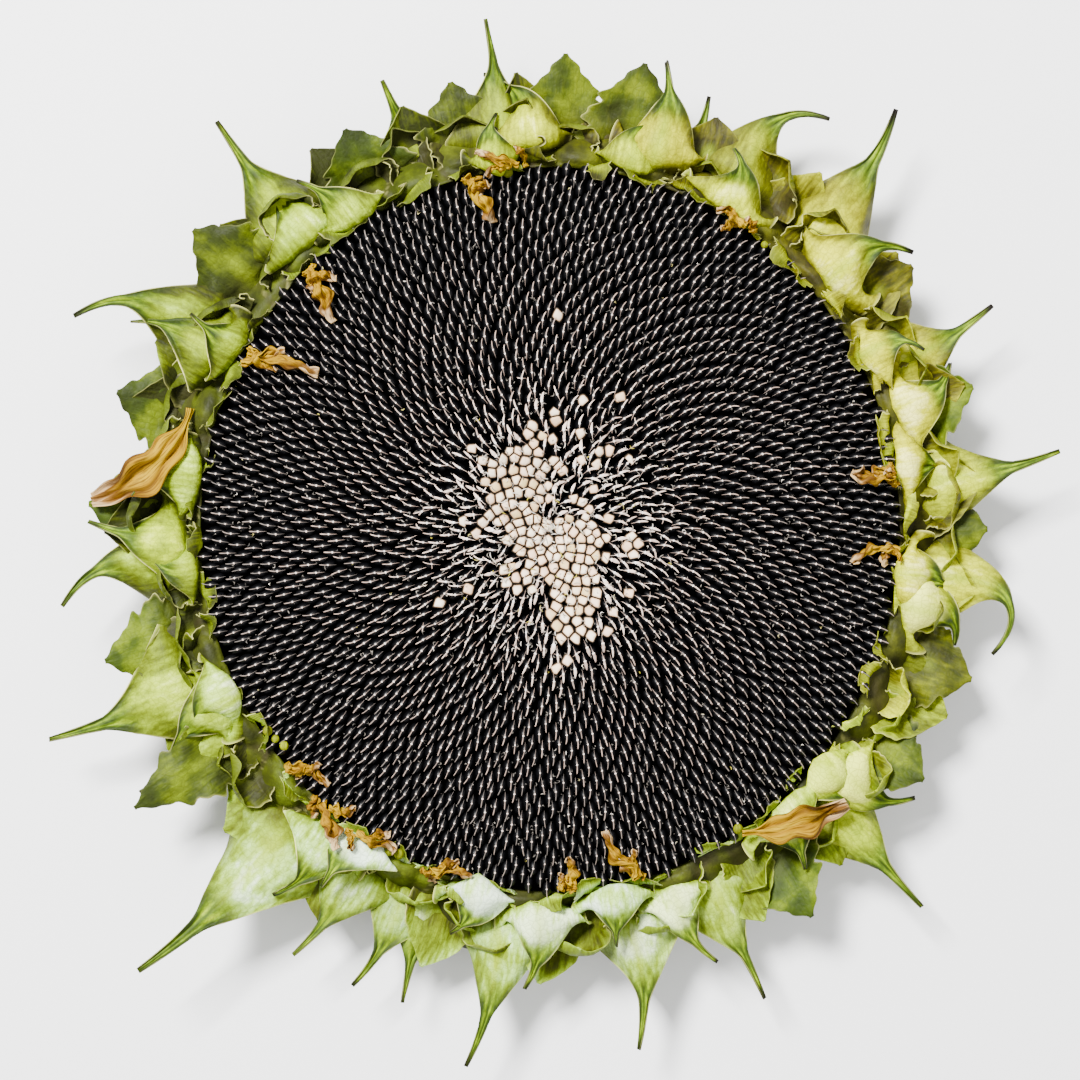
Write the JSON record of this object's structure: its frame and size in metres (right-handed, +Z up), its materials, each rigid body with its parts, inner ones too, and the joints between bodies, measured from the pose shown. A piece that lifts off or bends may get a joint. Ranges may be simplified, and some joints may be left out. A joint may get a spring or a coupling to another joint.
{
  "type": "sunflower seed head",
  "caption": "Ripe sunflower head lying on its back: a domed face of black seeds with pale empty ones in the middle, ringed by folded green bracts with long tips.",
  "frame": {"origin": "on the surface the head lies on, under the middle of its bounding box", "axes": "+Z up out of the seed face, +X to the right and +Y to the top of the face as it is seen from above"},
  "size_m": [0.3408, 0.3532, 0.0476],
  "materials": {
    "receptacle": "matt, soft and spongy, yellow-green",
    "bracts": "fleshy leaf, satin, yellow-green with paler folds",
    "ripe_seeds": "hard black husk, satin",
    "empty_seeds": "cream husk, matt",
    "ray_florets": "dry petal, matt orange"
  },
  "bodies": {
    "root": {"receptacle": "receptacle", "bracts": "bracts", "seeds": "ripe_seeds", "empty_seeds": "empty_seeds", "ray_floret_01": "ray_florets", "ray_floret_02": "ray_florets", "ray_floret_03": "ray_florets", "ray_floret_04": "ray_florets", "ray_floret_05": "ray_florets", "ray_floret_06": "ray_florets", "ray_floret_07": "ray_florets", "ray_floret_08": "ray_florets", "ray_floret_09": "ray_florets", "ray_floret_10": "ray_florets", "ray_floret_11": "ray_florets", "ray_floret_12": "ray_florets", "ray_floret_13": "ray_florets", "ray_floret_14": "ray_florets", "ray_floret_15": "ray_florets"}
  },
  "joints": []
}
